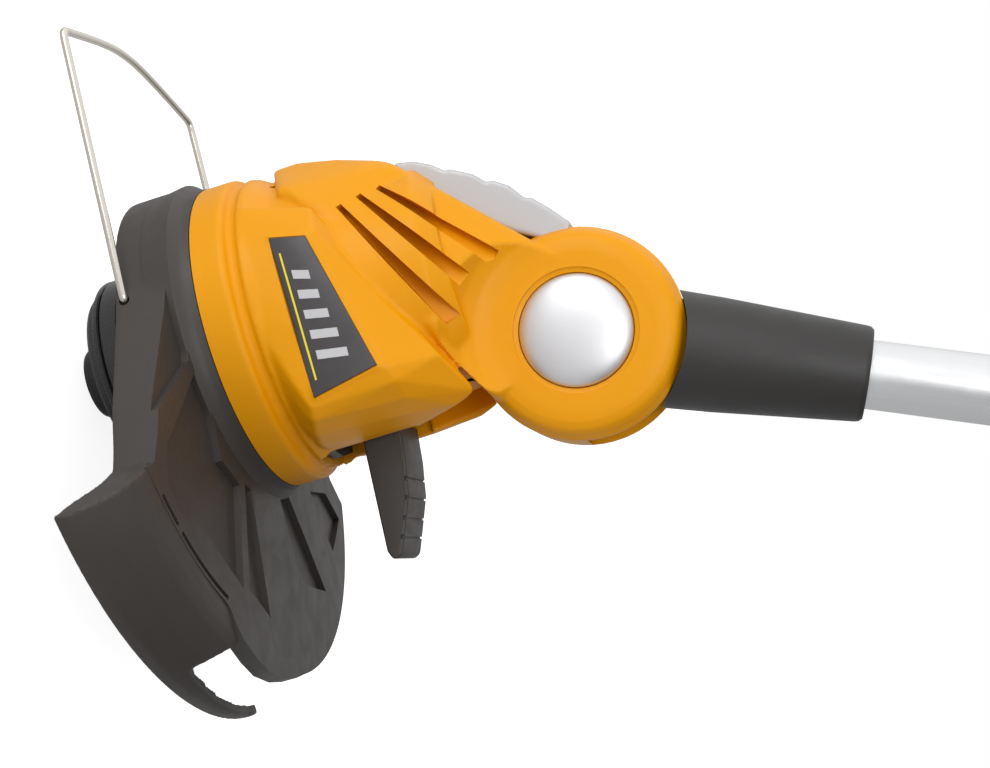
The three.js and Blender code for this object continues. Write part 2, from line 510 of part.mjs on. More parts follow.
add(shaft, "switch_box", box(-12.5, 2, -9, 9, front + 142, front + 176), black());
add(shaft, "terminal_block", box(-10, 22, -12, 12, back - 16.4, back - 2), black());

// ---------------------------------------------------------------- battery
const { s: bs, depth, x0: bx0, x1: bx1, half: bHalf } = BATTERY;
const latchPocket = box(bx1 - 5, bx1 + 1, -12.4, 12.4, bs + 9.6, bs + 28.4);
const batteryCase = cut(
  box(bx0, bx1, -bHalf, bHalf, bs, bs + depth), box(bx0 + 3, bx1 - 8, -bHalf + 3, bHalf - 3, bs + 6, bs + depth - 3),
  box(-24, 40, -20, 20, bs - 1, bs + 7), latchPocket,
);
add(shaft, "battery_case", batteryCase, black());
const cells = [];
for (let i = 0; i < 5; i++) cells.push(pinY(8.9, -32, 32, -30.4 + 17.6 * i, bs + 25, 12));
add(shaft, "cell_pack", join(...cells), finish(0x3d6a8a, 0.5));
add(shaft, "battery_latch", box(bx1 - 1.5, bx1 + 2.5, -12, 12, bs + 10, bs + 28), finish(ORANGE, 0.5));

export default group;
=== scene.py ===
"""Visual model of a cordless string trimmer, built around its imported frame.

Shapes are made in millimetres, in the frame's own axes, or along the tube for what sits on the shaft.
They are scaled to metres as each piece is finished.
"""

import json
import math

import bmesh
import bpy
from mathutils import Matrix, Vector


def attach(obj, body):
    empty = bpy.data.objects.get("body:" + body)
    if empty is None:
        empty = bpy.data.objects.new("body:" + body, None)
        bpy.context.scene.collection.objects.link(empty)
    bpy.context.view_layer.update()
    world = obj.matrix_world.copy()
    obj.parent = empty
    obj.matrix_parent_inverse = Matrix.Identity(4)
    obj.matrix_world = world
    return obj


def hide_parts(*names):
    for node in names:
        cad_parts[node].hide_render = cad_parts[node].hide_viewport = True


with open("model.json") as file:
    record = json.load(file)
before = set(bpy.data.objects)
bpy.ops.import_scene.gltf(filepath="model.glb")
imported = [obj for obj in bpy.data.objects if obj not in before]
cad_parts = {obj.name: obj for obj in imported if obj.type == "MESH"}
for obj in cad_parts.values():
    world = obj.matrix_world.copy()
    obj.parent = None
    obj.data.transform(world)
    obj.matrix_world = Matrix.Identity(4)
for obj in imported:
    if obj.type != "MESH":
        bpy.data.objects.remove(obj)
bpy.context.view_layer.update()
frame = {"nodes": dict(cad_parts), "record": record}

# ------------------------------------------------------------------ camera
CAMERA_RIGHT = Vector((0.2583, 0.1774, 0.9496))
CAMERA_UP = Vector((-0.9543, -0.1058, 0.2793))
CAMERA_AHEAD = Vector((-0.1501, 0.9784, -0.1420))
CAMERA_PLACE = Vector((0.13135, -0.56757, 0.23482))
CAMERA_LENS, CAMERA_SENSOR = 56.15, 36.0


def place_camera():
    data = bpy.data.cameras.new("studio_camera")
    data.lens, data.sensor_width = CAMERA_LENS, CAMERA_SENSOR
    data.clip_start, data.clip_end = 0.01, 60.0
    camera = bpy.data.objects.new("studio_camera", data)
    turn = Matrix((CAMERA_RIGHT, CAMERA_UP, -CAMERA_AHEAD)).transposed()
    camera.matrix_world = Matrix.Translation(CAMERA_PLACE) @ turn.to_4x4()
    bpy.context.scene.collection.objects.link(camera)
    bpy.context.scene.camera = camera


place_camera()

# ------------------------------------------------------------------ sizes, in millimetres and degrees
def voxel(full):
    return full


MM = 0.001
PIVOT = (37.0, 189.0)  # x and z of the tilt axis
PIVOT_AT = Matrix.Translation((PIVOT[0], 0, PIVOT[1]))
PIVOT_BORE = 3.4
TILT = 24.0  # from the spindle to the tube
TILT_TRAVEL = 50
DRUM_R, DRUM_HALF = 38.4, 21.5  # radius of the tilt drum, and half its width
NECK_HALF = 11.3  # half the width of the gap that the neck swings in
CAP_R = 20.8  # radius of the pivot caps
RIM_LOW = 67.5  # height of the housing's lower rim
BARREL_OVAL = 0.965  # the barrel is a little narrower fore and aft
OVAL_SHIFT = 0.6
WIRE_HINGE_X, WIRE_Z, WIRE_R = -11.5, 42.5, 1.5
SKIRT_START = -62.5  # where the guard's skirt begins, about the spindle
SHELL_VOXEL = voxel(0.8)
HANDLE_VOXEL = voxel(1.15)

ALONG_TUBE = PIVOT_AT @ Matrix.Rotation(math.radians(TILT), 4, "Y")
MIRROR_Y = Matrix.Scale(-1, 4, (0, 1, 0))
OVAL = Matrix.Translation((OVAL_SHIFT, 0, 0)) @ Matrix.Diagonal((BARREL_OVAL, 1, 1, 1))
LAID_ACROSS = Matrix.Rotation(math.radians(90), 4, "X")  # Z of the making to -Y
LAID_FORWARD = Matrix.Rotation(math.radians(90), 4, "Y")  # Z of the making to +X
SIDES = (("left", Matrix.Identity(4)), ("right", MIRROR_Y))


# ------------------------------------------------------------------ shaping
def turned(profile, sides=96, sweep=360.0):
    """A body turned about Z from (radius, height) pairs; part of a turn gets flat end faces."""
    bm = bmesh.new()
    line = [bm.verts.new((r, 0, z)) for r, z in profile]
    whole = sweep >= 360.0
    ring = line if whole and profile[0][0] == 0 else line + line[:1]
    edges = [bm.edges.new(pair) for pair in zip(ring, ring[1:])]
    geom = line + edges
    if not whole:
        geom.append(bm.faces.new(line))
    turn = bmesh.ops.spin(
        bm, geom=geom, cent=(0, 0, 0), axis=(0, 0, 1), angle=math.radians(sweep), steps=sides,
        use_merge=whole, use_duplicate=False,
    )
    bmesh.ops.remove_doubles(bm, verts=bm.verts, dist=1e-4)
    bmesh.ops.recalc_face_normals(bm, faces=bm.faces)
    return bm


def disc(r, low, high, sides=48):
    return turned([(0, low), (r, low), (r, high), (0, high)], sides)


def ring(inner, outer, low, high, sides=96):
    return turned([(inner, low), (outer, low), (outer, high), (inner, high)], sides)


def only_verts(geom):
    return [part for part in geom if isinstance(part, bmesh.types.BMVert)]


def pushed(corners, travel):
    """A flat face through the corners, pushed along a vector into a body."""
    bm = bmesh.new()
    face = bm.faces.new([bm.verts.new(corner) for corner in corners])
    grown = bmesh.ops.extrude_face_region(bm, geom=[face])["geom"]
    bmesh.ops.translate(bm, verts=only_verts(grown), vec=travel)
    bmesh.ops.recalc_face_normals(bm, faces=bm.faces)
    return bm


def slab(points, low, high):
    """An outline in the XZ plane, thick from y = low to y = high."""
    return pushed([(x, low, z) for x, z in points], (0, high - low, 0))


def plate(points, low, high):
    """An outline in the XY plane, thick from z = low to z = high."""
    return pushed([(x, y, low) for x, y in points], (0, 0, high - low))


def block(x0, x1, y0, y1, z0, z1):
    bm = bmesh.new()
    bmesh.ops.create_cube(bm, size=1)
    bmesh.ops.scale(bm, verts=bm.verts, vec=(x1 - x0, y1 - y0, z1 - z0))
    bmesh.ops.translate(bm, verts=bm.verts, vec=((x0 + x1) / 2, (y0 + y1) / 2, (z0 + z1) / 2))
    return bm


def hull(points):
    bm = bmesh.new()
    for p in points:
        bm.verts.new(p)
    made = bmesh.ops.convex_hull(bm, input=bm.verts)
    spare = set(only_verts(made["geom_interior"] + made["geom_unused"]))
    bmesh.ops.delete(bm, geom=list(spare), context="VERTS")
    bmesh.ops.dissolve_limit(bm, angle_limit=0.01, verts=bm.verts, edges=bm.edges)
    bmesh.ops.recalc_face_normals(bm, faces=bm.faces)
    return bm


def rounded(bm, width, segments=3, above=25.0):
    """Rounds every edge sharper than an angle."""
    limit = math.radians(above)
    edges = [e for e in bm.edges if len(e.link_faces) == 2 and e.calc_face_angle(0) > limit]
    bmesh.ops.bevel(
        bm, geom=edges, offset=width, offset_type="OFFSET", segments=segments, profile=0.5,
        affect="EDGES", clamp_overlap=True, material=-1,
    )
    return bm


def moved(bm, matrix):
    bmesh.ops.transform(bm, matrix=matrix, verts=bm.verts)
    return bm


def copied(bm, matrix):
    twin = bm.copy()
    bmesh.ops.transform(twin, matrix=matrix, verts=twin.verts)
    if matrix.determinant() < 0:
        bmesh.ops.reverse_faces(twin, faces=twin.faces)
    return twin


def across(bm, x, z):
    """Lays a body made along Z across the tool, its top towards -Y, on the axis through (x, z)."""
    return moved(bm, Matrix.Translation((x, 0, z)) @ LAID_ACROSS)


def pin(r, low, high, x, z, sides=48):
    """A round pin across the tool from y = low to y = high."""
    return across(disc(r, -high, -low, sides), x, z)


def arc(r, start, end, count, centre=(0, 0)):
    """Points on an arc, from one angle in degrees to another."""
    points = []
    for k in range(count + 1):
        a = math.radians(start + (end - start) * k / count)
        points.append((centre[0] + r * math.cos(a), centre[1] + r * math.sin(a)))
    return points


def both_sides(points):
    return [(x, sign * y, z) for x, y, z in points for sign in (1, -1)]


def solid(bm, name="body"):
    mesh = bpy.data.meshes.new(name)
    bm.to_mesh(mesh)
    bm.free()
    body = bpy.data.objects.new(name, mesh)
    bpy.context.scene.collection.objects.link(body)
    return body


def settle(body):
    """Applies the body's modifiers."""
    bpy.context.view_layer.update()
    graph = bpy.context.evaluated_depsgraph_get()
    mesh = bpy.data.meshes.new_from_object(body.evaluated_get(graph))
    body.modifiers.clear()
    old, body.data = body.data, mesh
    bpy.data.meshes.remove(old)
    return body


def combine(body, shapes, how):
    """Joins a body with shapes, cuts it by them or keeps what they share; a shape is a bmesh or a body."""
    tools = [s if isinstance(s, bpy.types.Object) else solid(s, "tool") for s in shapes]
    for tool in tools:
        step = body.modifiers.new("combine", "BOOLEAN")
        step.object, step.operation, step.solver = tool, how, "MANIFOLD"
    settle(body)
    for tool in tools:
        mesh = tool.data
        bpy.data.objects.remove(tool)
        bpy.data.meshes.remove(mesh)
    return body


def add(body, *shapes):
    return combine(body, shapes, "UNION")


def cut(body, *shapes):
    return combine(body, shapes, "DIFFERENCE")


def keep(body, *shapes):
    return combine(body, shapes, "INTERSECT")


def moulded(body, size, rounds):
    """Melts the joins of a body into moulded fillets."""
    skin = body.modifiers.new("skin", "REMESH")
    skin.mode, skin.voxel_size = "VOXEL", size
    soft = body.modifiers.new("soft", "SMOOTH")
    soft.factor, soft.iterations = 0.5, rounds
    return settle(body)


def bevelled(body, width, segments=2, above=30.0):
    edge = body.modifiers.new("edge", "BEVEL")
    edge.width, edge.segments, edge.limit_method = width, segments, "ANGLE"
    edge.angle_limit = math.radians(above)
    edge.use_clamp_overlap = True
    return settle(body)


def twin(body):
    """A copy of a body, to be worked on separately."""
    other = bpy.data.objects.new(body.name, body.data.copy())
    bpy.context.scene.collection.objects.link(other)
    return other


def mirror_twin(body):
    other = twin(body)
    other.data.transform(MIRROR_Y)
    other.data.flip_normals()
    return other


# ------------------------------------------------------------------ finishes
def add_node(tree, kind, inputs=None, **settings):
    made = tree.nodes.new(kind)
    for key, value in settings.items():
        setattr(made, key, value)
    for key, value in (inputs or {}).items():
        if isinstance(value, bpy.types.NodeSocket):
            tree.links.new(value, made.inputs[key])
        else:
            made.inputs[key].default_value = value
    return made


def new_group(name, colour, scale, swing, gloss):
    """An empty group with the sockets that both effects share; scale and swing are (label, value)."""
    tree = bpy.data.node_groups.new(name, "ShaderNodeTree")
    for label, kind, value in [
        ("Place", "NodeSocketVector", None), ("Colour", "NodeSocketColor", colour),
        (scale[0], "NodeSocketFloat", scale[1]), (swing[0], "NodeSocketFloat", swing[1]),
        ("Gloss Low", "NodeSocketFloat", gloss[0]), ("Gloss High", "NodeSocketFloat", gloss[1]),
    ]:
        socket = tree.interface.new_socket(label, in_out="INPUT", socket_type=kind)
        if value is not None:
            socket.default_value = value
    for label, kind in [
        ("Colour", "NodeSocketColor"), ("Roughness", "NodeSocketFloat"), ("Height", "NodeSocketFloat"),
    ]:
        tree.interface.new_socket(label, in_out="OUTPUT", socket_type=kind)
    return tree, tree.nodes.new("NodeGroupInput").outputs, tree.nodes.new("NodeGroupOutput").inputs


def noise(tree, place, scale, **inputs):
    made = add_node(tree, "ShaderNodeTexNoise", {"Vector": place, "Scale": scale, **inputs})
    return made.outputs["Fac"]


def calculated(tree, operation, *values):
    return add_node(tree, "ShaderNodeMath", dict(enumerate(values)), operation=operation).outputs[0]


def finish_group(tree, given, out, swing, wear, height):
    """Shades the colour by a factor about 1, and spreads the gloss over its range by a wear pattern."""
    tinted = add_node(
        tree, "ShaderNodeVectorMath", {0: given["Colour"], "Scale": swing}, operation="SCALE"
    )
    gloss = add_node(tree, "ShaderNodeMapRange", {
        "Value": wear, "From Min": 0.3, "From Max": 0.7,
        "To Min": given["Gloss Low"], "To Max": given["Gloss High"],
    })
    tree.links.new(tinted.outputs[0], out["Colour"])
    tree.links.new(gloss.outputs[0], out["Roughness"])
    tree.links.new(height, out["Height"])
    return tree


def moulded_grain_group():
    """Fine spark-eroded texture with slow drifts of shade and gloss, as on moulded plastic."""
    tree, given, out = new_group(
        "moulded_grain", (0.5, 0.5, 0.5, 1), ("Grain Scale", 2600.0), ("Drift", 0.1), (0.35, 0.5)
    )
    place = given["Place"]
    grain = noise(tree, place, given["Grain Scale"], Detail=3.0)
    slow = noise(tree, place, 28.0, Detail=4.0, Roughness=0.6)
    rubbed = noise(tree, place, 95.0, Detail=5.0, Distortion=0.6)
    centred = calculated(tree, "SUBTRACT", calculated(tree, "ADD", slow, grain), 1.0)
    swing = calculated(tree, "MULTIPLY_ADD", centred, given["Drift"], 1.0)
    return finish_group(tree, given, out, swing, rubbed, grain)


def drawn_metal_group():
    """Fine lines of a drawn or brushed metal, running along the mapped Z axis, with small handling marks."""
    tree, given, out = new_group(
        "drawn_metal", (0.7, 0.7, 0.7, 1), ("Line Scale", 900.0), ("Shade", 0.08), (0.2, 0.35)
    )
    place = given["Place"]
    stretched = add_node(tree, "ShaderNodeMapping", {"Vector": place, "Scale": (1.0, 1.0, 0.02)})
    lines = noise(tree, stretched.outputs[0], given["Line Scale"], Detail=3.0)
    marks = noise(tree, place, 60.0, Detail=5.0, Roughness=0.65)
    centred = calculated(tree, "SUBTRACT", lines, 0.5)
    swing = calculated(tree, "MULTIPLY_ADD", centred, given["Shade"], 1.0)
    return finish_group(tree, given, out, swing, marks, lines)


MOULDED_GRAIN = moulded_grain_group()
DRAWN_METAL = drawn_metal_group()


FINISH = {}  # every finish by its name


def new_finish(name, group, values, relief, shader, turn=(0, 0, 0)):
    """A material with colour, gloss and fine relief from a shared group, and constants on the shader."""
    material = bpy.data.materials.new(name)
    material.use_nodes = True
    tree = material.node_tree
    surface = tree.nodes["Principled BSDF"]
    place = add_node(tree, "ShaderNodeTexCoord").outputs["Object"]
    if any(turn):
        place = add_node(tree, "ShaderNodeMapping", {"Vector": place, "Rotation": turn}).outputs[0]
    effect = add_node(tree, "ShaderNodeGroup", node_tree=group)
    tree.links.new(place, effect.inputs["Place"])
    for key, value in values.items():
        effect.inputs[key].default_value = value
    strength, distance = relief
    bump = add_node(tree, "ShaderNodeBump", {
        "Height": effect.outputs["Height"], "Strength": strength, "Distance": distance,
    })
    tree.links.new(effect.outputs["Colour"], surface.inputs["Base Color"])
    tree.links.new(effect.outputs["Roughness"], surface.inputs["Roughness"])
    tree.links.new(bump.outputs[0], surface.inputs["Normal"])
    for key, value in shader.items():
        surface.inputs[key].default_value = value
    FINISH[name] = material
    return material


def plastic(name, colour, gloss, grain=2600.0, drift=0.08, relief=(0.25, 0.00006), **shader):
    values = {
        "Colour": (*colour, 1), "Grain Scale": grain, "Drift": drift,
        "Gloss Low": gloss[0], "Gloss High": gloss[1],
    }
    return new_finish(name, MOULDED_GRAIN, values, relief, shader)


def metal(name, colour, gloss, lines=900.0, turn=(0, 0, 0)):
    values = {
        "Colour": (*colour, 1), "Line Scale": lines, "Shade": 0.1,
        "Gloss Low": gloss[0], "Gloss High": gloss[1],
    }
    return new_finish(name, DRAWN_METAL, values, (0.1, 0.00003), {"Metallic": 1.0}, turn)


plastic(
    "orange_plastic", (0.80, 0.325, 0.0), (0.36, 0.46), 2400.0, 0.05, (0.12, 0.00005),
    **{"Specular IOR Level": 0.22},
)
plastic("black_plastic", (0.043, 0.037, 0.033), (0.44, 0.56), 1900.0, 0.18, (0.4, 0.0001))
plastic("spool_plastic", (0.030, 0.029, 0.029), (0.22, 0.34), 1500.0, 0.2, (0.15, 0.00005))
plastic("boot_plastic", (0.027, 0.025, 0.024), (0.42, 0.5), 3200.0, 0.15, (0.3, 0.00006))
plastic("grip_rubber", (0.034, 0.033, 0.032), (0.62, 0.75), 1100.0, 0.2, (0.5, 0.00015))
plastic("dark_nylon", (0.036, 0.036, 0.036), (0.4, 0.55), 1800.0, 0.2)
plastic("badge_film", (0.060, 0.054, 0.058), (0.38, 0.5), 3800.0, 0.9, (0.1, 0.00003))
plastic("stripe_silver", (0.55, 0.55, 0.57), (0.3, 0.4), 2600.0, 0.1)
plastic("stripe_yellow", (0.85, 0.68, 0.02), (0.35, 0.45), 2600.0, 0.1)
plastic(
    "silver_plastic", (0.50, 0.50, 0.51), (0.4, 0.5), 3000.0, 0.06, (0.15, 0.00004), Metallic=0.25
)
plastic("silver_cap", (0.74, 0.74, 0.76), (0.42, 0.46), 5200.0, 0.05, (0.05, 0.00002), Metallic=0.9)
metal("alloy_tube", (0.78, 0.79, 0.80), (0.26, 0.36), turn=(0, -math.radians(TILT), 0))
metal("nickel_wire", (0.76, 0.72, 0.65), (0.12, 0.22), 700.0)
metal("steel", (0.60, 0.60, 0.60), (0.25, 0.4))
plastic("line_nylon", (0.78, 0.74, 0.60), (0.2, 0.3), 900.0, 0.1)
plastic("cell_wrap", (0.06, 0.18, 0.28), (0.2, 0.3), 900.0, 0.1)


def piece(body, name, rides_on, nodes, finish, sharp=35.0, place=None):
    """Finishes a body: metres, shading, material, a parent empty for its body, and the CAD nodes it replaces
    hidden.
    """
    mesh = body.data
    if place is not None:
        mesh.transform(place)
    mesh.transform(Matrix.Scale(MM, 4))
    mesh.shade_smooth()
    mesh.set_sharp_from_angle(angle=math.radians(sharp))
    body.name = mesh.name = name
    mesh.materials.clear()
    mesh.materials.append(FINISH[finish])
    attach(body, rides_on)
    if nodes:
        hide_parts(*nodes)
    return body


# ------------------------------------------------------------------ motor housing
ARM_FOOT = both_sides([
    (-57, 14, 92), (-57.5, 13, 103), (-52.5, 18, 119), (-44.5, 23, 138.5),
    (-40, 40, 98), (-29, 43.5, 112), (20, 42, 138), (47, 30, 151),
])
ARM_TIP = both_sides([(22.6, DRUM_HALF, 204), (54.7, DRUM_HALF, 155)])
BADGE = [(-19.4, 96.3), (-16.2, 109.2), (34.7, 122.4), (39.6, 98.2)]
BADGE_CENTRE = (9.7, 106.5)
BADGE_Y = 55.0


def badge_outline(grow):
    points = []
    for x, z in BADGE:
        dx, dz = x - BADGE_CENTRE[0], z - BADGE_CENTRE[1]
        stretch = 1 + grow / math.hypot(dx, dz)
        points.append((BADGE_CENTRE[0] + dx * stretch, BADGE_CENTRE[1] + dz * stretch))
    return points


def side_panel():
    """The pad round one badge: a flat frame, broad chamfers, and a block towards the pedal's opening."""
    frame_face = [(-21.2, -54.4, 95.2), (-18, -54.4, 111.8), (36.5, -54.4, 125.8), (43, -54.4, 96)]
    brow = [(-29.5, -45.5, 111.2), (22.4, -45.5, 131.9), (35, -41, 142), (48.5, -24, 149), (51.5, -24, 141)]
    round_corner = [
        (41.5, -51.8, 127), (47, -44, 127), (51, -33, 125), (53.5, -20, 122), (54, -12, 121),
        (47, -51, 94.5), (50.5, -42, 91.5), (53, -30, 89), (54, -18, 88), (54, -12, 88),
    ]
    foot = [(x, y, 85.8) for x, y in arc(59, 231, 318, 12)]
    return hull(frame_face + brow + round_corner + foot)


def turned_drum():
    r, half = DRUM_R, DRUM_HALF
    face = [
        (0, half), (r - 9, half), (r - 5.2, half - 0.6), (r - 2.4, half - 2), (r - 0.8, half - 4.2),
        (r, half - 6.5), (r + 1, half - 7.5),
    ]
    profile = [(x, -y) for x, y in face] + face[::-1]
    return across(turned(profile, 128), *PIVOT)


def vent_slots():
    """Three long tapering louvre slots in one flank of the arm."""
    slots = []
    starts, ends = [(-28, 120), (-31, 127), (-33, 134)], [(23, 149), (12, 158), (4, 168)]
    for (x0, z0), (x1, z1) in zip(starts, ends):
        length = math.hypot(x1 - x0, z1 - z0)
        nx, nz = -(z1 - z0) / length, (x1 - x0) / length
        corners = [
            (x0 - nx, z0 - nz), (x0 + nx, z0 + nz), (x1 + 3 * nx, z1 + 3 * nz), (x1 - 3 * nx, z1 - 3 * nz),
        ]
        slots.append(slab(corners, -60, -16))
    return slots


def neck_gap():
    """The opening in the drum's rim that the neck swings in."""
    neck_r, reach, steps = 18.3, 47, 12
    gaps = []
    for degrees in (TILT, TILT + TILT_TRAVEL):
        turn = PIVOT_AT @ Matrix.Rotation(math.radians(degrees), 4, "Y")
        gaps.append(moved(block(-neck_r, neck_r, -NECK_HALF, NECK_HALF, 0, 60), turn))
    fan_out = [PIVOT]
    for step in range(steps + 1):
        a = math.radians(90 - TILT - TILT_TRAVEL + TILT_TRAVEL * step / steps)
        fan_out.append((PIVOT[0] + reach * math.cos(a), PIVOT[1] + reach * math.sin(a)))
    return [*gaps, slab(fan_out, -NECK_HALF, NECK_HALF)]


def housing_skin():
    """The outside of the housing: a turned barrel, the arm with the tilt drum, and a pad for each badge."""
    barrel = [
        (0, RIM_LOW - 4), (61.6, RIM_LOW - 4), (61.7, 78.2), (61, 79.8), (58.6, 80.2), (58.4, 83.4),
        (60, 84.6), (59.4, 87), (54.4, 95), (53.4, 103), (48.6, 118), (46.6, 128), (44.6, 146), (38, 152),
        (0, 152),
    ]
    skin = solid(moved(turned(barrel, 128), OVAL), "housing")
    arm = solid(rounded(hull(ARM_FOOT + ARM_TIP), 5.0, 4, 12.0), "arm")
    dish = across(turned([
        (0, 21.4), (25, 21.4), (31, 22), (37, 24), (42, 27.6), (47, 36), (47, 60), (0, 60),
    ], 96), *PIVOT)
    cut(arm, dish, copied(dish, MIRROR_Y))
    panel = rounded(side_panel(), 0.9, 3)
    lip_face = [(x, -55.6, z) for x, z in badge_outline(1.1)]
    lip = hull(lip_face + [(x, -50, z) for x, z in badge_outline(2.6)])
    add(skin, arm, turned_drum(), panel, copied(panel, MIRROR_Y), lip, copied(lip, MIRROR_Y))
    cut(skin, block(30, 80, -16.5, 16.5, 84, 122))
    moulded(skin, SHELL_VOXEL, 5)
    cut(skin, block(-80, 80, -80, 80, 50, RIM_LOW))
    inner_foot = [(x * 0.88, y * 0.86, z) for x, y, z in ARM_FOOT]
    core = hull(inner_foot + both_sides([(22.6, 17.5, 204), (54.7, 17.5, 155)]))  # the slots' floor
    slots = [cut(solid(s, "slot"), core.copy()) for s in vent_slots()]
    core.free()
    cut(skin, *slots, *[mirror_twin(s) for s in slots])
    return skin


def housing():
    """The two half shells: the skin is hollowed, opened for what sits in it, and split down the middle."""
    skin = housing_skin()
    hollow = [
        (0, RIM_LOW - 1), (58, RIM_LOW - 1), (57.5, 76), (55, 82), (50, 91), (46, 102), (36, 111), (31, 127),
        (30, 136), (0, 138),
    ]
    cavity = across(disc(35.2, -12, 12, 96), *PIVOT)
    cap_seat = [
        turned([(0, 18.2), (21.2, 18.2), (21.2, 20.2), (23, 20.9), (23.6, 30), (0, 30)], 96),
        disc(6.6, 14.9, 30),
    ]
    seats = [across(bm, *PIVOT) for bm in cap_seat]
    seats += [copied(bm, MIRROR_Y) for bm in seats]
    badge_seat = slab(badge_outline(0.5), -BADGE_Y - 5, -BADGE_Y + 0.2)
    screws = []
    for x, z in [(-36, 117), (-46, 94)]:
        screws += [pin(3.8, 34, 70, x, z), pin(1.9, -25, 40, x, z)]
    cut(skin, moved(turned(hollow, 96), OVAL))
    lead_way = block(30, 42.5, -9.6, 9.6, 118, 160)
    cut(skin, cavity, *neck_gap(), lead_way, pin(PIVOT_BORE, -30, 30, *PIVOT))
    cut(skin, block(4, 42.5, -13, 13, 120, 152), block(24, 62, -16, 16, 96, 119.5))
    cut(skin, *seats, badge_seat, copied(badge_seat, MIRROR_Y), *screws)
    other = twin(skin)
    keep(skin, block(-120, 120, -120, -0.2, 0, 260))
    keep(other, block(-120, 120, 0.2, 120, 0, 260))
    piece(skin, "housing_shell_left", "head", ["housing_left"], "orange_plastic")
    piece(other, "housing_shell_right", "head", ["housing_right"], "orange_plastic")


def spine():
    """The silver crowned strip on top of the arm, with three shallow steps across it."""
    crown = [
        (-45, 139.5), (-43.2, 147), (-40.3, 152.6), (-36.2, 157.4), (-36.2, 159.4), (-31.8, 167.1),
        (-27.2, 171.4), (-27.2, 173.6), (-23.4, 179), (-16.9, 183.6), (-16.9, 185.4), (-11, 191), (-3, 197.4),
    ]
    strip = slab(crown + [(4, 193), (-6, 176), (-30, 146), (-38, 138)], -15, 15)
    body = solid(rounded(strip, 4.5, 5, 40.0), "spine")
    piece(moulded(body, 0.6, 4), "spine_strip", "head", ["spine_cover"], "silver_plastic")


def badges():
    """Plain film badges with a generic pattern of slanted bars."""
    film = solid(rounded(slab(badge_outline(0.1), -BADGE_Y - 1.0, -BADGE_Y + 0.1), 0.35, 2), "badge")
    print_low, print_high = -BADGE_Y - 1.12, -BADGE_Y - 0.9
    bars = []
    for k in range(5):
        x = -6 + 7.5 * k
        low, high = 101.5 + 0.35 * k, 107.5 + 1.6 * k
        bar = [(x, low), (x + 3.2, low), (x + 5.0, high), (x + 1.8, high)]
        bars.append(slab(bar, print_low, print_high))
    line = slab([(-13, 98.6), (34, 100.2), (34, 100.9), (-13, 99.3)], print_low, print_high)
    for side, flip in SIDES:
        base = twin(film) if side == "left" else mirror_twin(film)
        piece(base, f"badge_film_{side}", "head", [f"badge_{side}"], "badge_film")
        for k, bar in enumerate(bars):
            body = solid(copied(bar, flip))
            piece(body, f"badge_bar_{side}_{k + 1}", "head", (), "stripe_silver")
        piece(solid(copied(line, flip)), f"badge_line_{side}", "head", (), "stripe_yellow")
    bpy.data.objects.remove(film)


def pivot_caps():
    edge, rise, steps = 20.3, 5.0, 12
    dome = [(0, 18.5), (CAP_R, 18.5), (CAP_R, edge)]
    for k in range(1, steps + 1):
        share = k / steps
        r = CAP_R * math.cos(share * math.pi / 2) ** 0.9 if k < steps else 0
        dome.append((r, edge + rise * math.sin(share * math.pi / 2)))
    for side, flip in SIDES:
        cap = solid(copied(across(turned(dome, 96), *PIVOT), flip))
        piece(cap, f"pivot_cap_{side}_dome", "head", [f"pivot_cap_{side}"], "silver_cap", sharp=50)


# ------------------------------------------------------------------ guard
NEAR_FLANK = [(54.9, -105.6), (53, -100), (44, -95), (31, -89), (14, -78.5), (-3, -68)]


def guard_outline():
    """The plate's outline: a wide arc behind, a tight one in front, and a shoulder line over the skirt."""
    shoulder = [(101.5, -62), (108, -58.5), (114, -54), (120.5, -46), (126, -36.5), (129.6, -22), (130.6, -8)]
    behind = arc(118.5, SKIRT_START, -33, 20) + shoulder + arc(130, 1, 62.5, 40)
    return behind + [(50, 96)] + arc(62, 105, 246, 48) + NEAR_FLANK[:0:-1]


SKIRT_OUTER = [
    (117, 53), (121.5, 52.4), (125.6, 51), (128.6, 49), (131, 46.2), (134.5, 41.5), (138.2, 35),
    (139.8, 31.4), (140, 28), (139.2, 27),
]


def skirt_section():
    """The skirt's section, from its outer line and the same line a wall's thickness in."""
    inner = [(r - 2.6, z - 1.6) for r, z in reversed(SKIRT_OUTER[:-2])]
    return SKIRT_OUTER + [(137.6, 27), (136.8, 28)] + inner[1:]


def top_form(drop):
    """The sloping top of the guard, from the collar down to the outline, lowered by a drop."""
    collar = [(x * BARREL_OVAL + OVAL_SHIFT, y, 61 - drop) for x, y in arc(64.5, 0, 355, 71)]
    rim = [(x, y, 51.4 + 1.6 * min(max((x + 20) / 80, 0), 1) - drop) for x, y in guard_outline()]
    return hull(collar + rim + [(x, y, 38) for x, y, _ in rim])


POCKETS = [
    [(-31.3, -56.9), (-4, -74), (31.9, -99), (38.4, -96), (16.2, -64.6)],
    [
        (15.8, -57.6), (46.8, -89.9), (60.1, -93.6), (70.7, -86.5), (73.5, -75.6), (96.2, -48.9),
        (59.5, -40.2), (51.2, -52.4),
    ],
    [(59.0, -35.7), (96.7, -44), (107.8, -28), (61.1, -30.8)],
    [(64.0, -0.9), (96.5, 13.5), (99.8, 48.7), (60.5, 8.7)],
    [(58.6, 46.0), (83.0, 73.3), (67.7, 100), (57.5, 78)],
]


